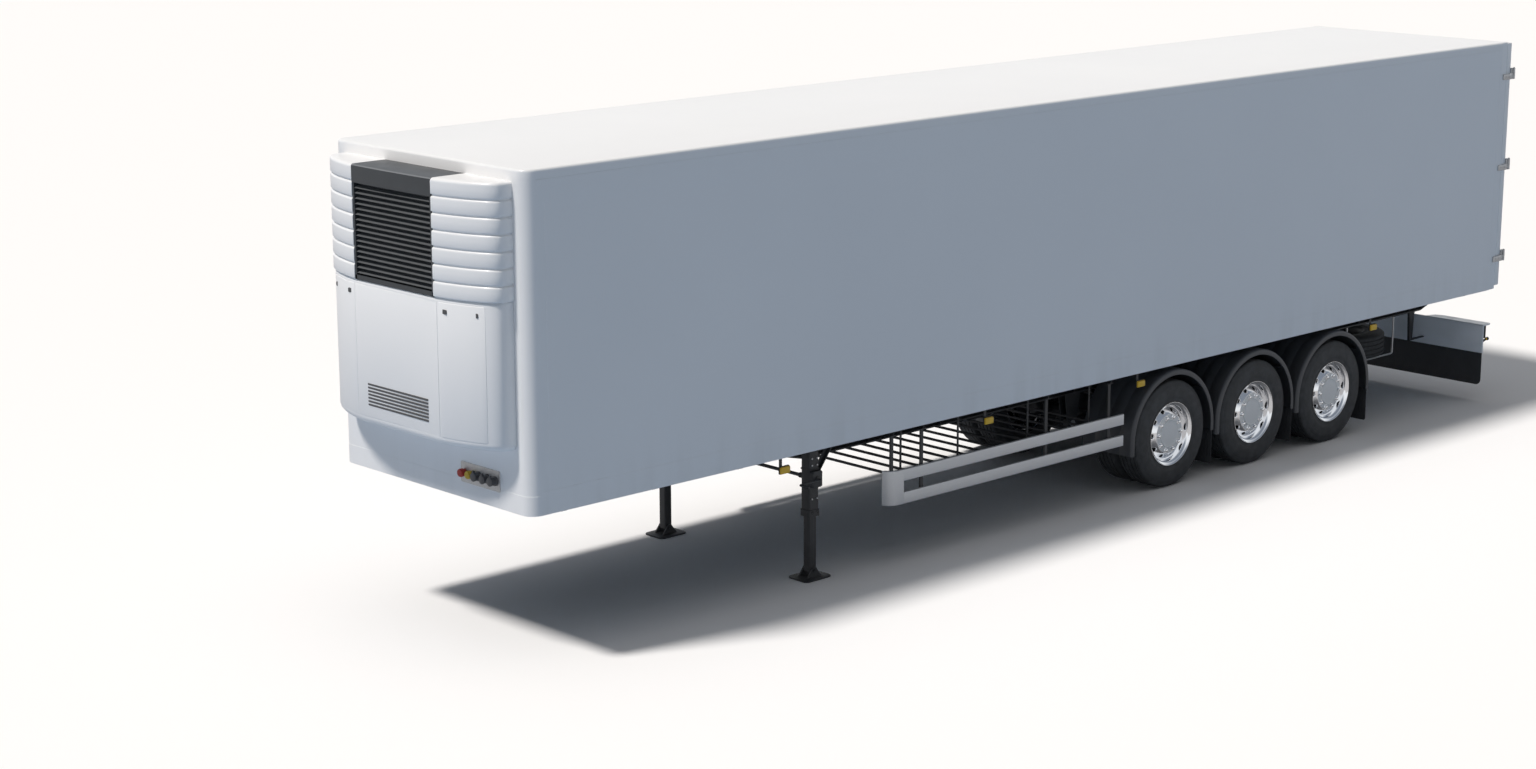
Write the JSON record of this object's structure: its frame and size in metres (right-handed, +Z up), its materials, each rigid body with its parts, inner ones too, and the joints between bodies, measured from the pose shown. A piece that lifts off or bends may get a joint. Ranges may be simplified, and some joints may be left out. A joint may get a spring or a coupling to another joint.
{
  "type": "refrigerated box semi-trailer",
  "caption": "Long insulated box semi-trailer with a louvred cooling unit in front, twin-tyred axles under half-round fenders, side guards, a pallet rack, landing legs and hinged rear doors.",
  "frame": {"origin": "on the ground under the middle of the part's outer box", "axes": "+X to the coupling end, +Y to the left side, +Z up"},
  "size_m": [14.059, 2.546, 3.95],
  "materials": {
    "white_panel": "smooth gloss coat",
    "lining": "light grey lining",
    "black_frame": "satin black paint",
    "black_plastic": "matt moulded plastic",
    "mud_rubber": "matt rubber",
    "tyre_rubber": "matt rubber with tread",
    "polished_alloy": "polished",
    "plain_steel": "galvanised",
    "guard_alloy": "satin anodised"
  },
  "bodies": {
    "trailer": {"floor": "lining", "wall_left": "white_panel", "wall_right": "white_panel", "wall_front": "white_panel", "roof": "white_panel", "rear_frame": "white_panel", "cooler_cowl_left": "white_panel", "cooler_cowl_right": "white_panel", "cooler_centre": "black_plastic", "cooler_lower": "white_panel", "fender_left_1": "black_plastic", "fender_left_2": "black_plastic", "fender_left_3": "black_plastic", "fender_right_1": "black_plastic", "fender_right_2": "black_plastic", "fender_right_3": "black_plastic", "floor_bearers": "black_frame", "beam_left": "black_frame", "beam_right": "black_frame", "axle_1": "black_frame", "axle_2": "black_frame", "axle_3": "black_frame", "coupling_plate": "plain_steel", "landing_leg_left": "black_frame", "landing_leg_right": "black_frame", "side_guard_left": "guard_alloy", "side_guard_right": "guard_alloy", "pallet_rack": "black_frame", "air_tank": "plain_steel", "spare_tyre": "tyre_rubber", "spare_rim": "polished_alloy", "spare_carrier": "plain_steel", "lamp_board": "guard_alloy", "mud_curtain": "mud_rubber"},
    "wheel_left_1": {"rim_left_1": "polished_alloy", "tyre_outer_left_1": "tyre_rubber", "tyre_inner_left_1": "tyre_rubber"},
    "wheel_left_2": {"rim_left_2": "polished_alloy", "tyre_outer_left_2": "tyre_rubber", "tyre_inner_left_2": "tyre_rubber"},
    "wheel_left_3": {"rim_left_3": "polished_alloy", "tyre_outer_left_3": "tyre_rubber", "tyre_inner_left_3": "tyre_rubber"},
    "wheel_right_1": {"rim_right_1": "polished_alloy", "tyre_outer_right_1": "tyre_rubber", "tyre_inner_right_1": "tyre_rubber"},
    "wheel_right_2": {"rim_right_2": "polished_alloy", "tyre_outer_right_2": "tyre_rubber", "tyre_inner_right_2": "tyre_rubber"},
    "wheel_right_3": {"rim_right_3": "polished_alloy", "tyre_outer_right_3": "tyre_rubber", "tyre_inner_right_3": "tyre_rubber"},
    "rear_door_left": {"door_left": "white_panel", "lock_rods_left": "plain_steel"},
    "rear_door_right": {"door_right": "white_panel", "lock_rods_right": "plain_steel"}
  },
  "joints": [
    {"name": "spin_left_1", "type": "hinge", "parent": "trailer", "child": "wheel_left_1", "pos_m": [-1.3035, 0.9295, 0.532], "axis": [0, 1, 0], "continuous": true},
    {"name": "spin_left_2", "type": "hinge", "parent": "trailer", "child": "wheel_left_2", "pos_m": [-2.6235, 0.9295, 0.532], "axis": [0, 1, 0], "continuous": true},
    {"name": "spin_left_3", "type": "hinge", "parent": "trailer", "child": "wheel_left_3", "pos_m": [-3.9435, 0.9295, 0.532], "axis": [0, 1, 0], "continuous": true},
    {"name": "spin_right_1", "type": "hinge", "parent": "trailer", "child": "wheel_right_1", "pos_m": [-1.3035, -0.9295, 0.532], "axis": [0, 1, 0], "continuous": true},
    {"name": "spin_right_2", "type": "hinge", "parent": "trailer", "child": "wheel_right_2", "pos_m": [-2.6235, -0.9295, 0.532], "axis": [0, 1, 0], "continuous": true},
    {"name": "spin_right_3", "type": "hinge", "parent": "trailer", "child": "wheel_right_3", "pos_m": [-3.9435, -0.9295, 0.532], "axis": [0, 1, 0], "continuous": true},
    {"name": "swing_left", "type": "hinge", "parent": "trailer", "child": "rear_door_left", "pos_m": [-7.0165, 1.26, 2.6], "axis": [0, 0, -1], "range_deg": [0, 270]},
    {"name": "swing_right", "type": "hinge", "parent": "trailer", "child": "rear_door_right", "pos_m": [-7.0165, -1.26, 2.6], "axis": [0, 0, 1], "range_deg": [0, 270]}
  ]
}
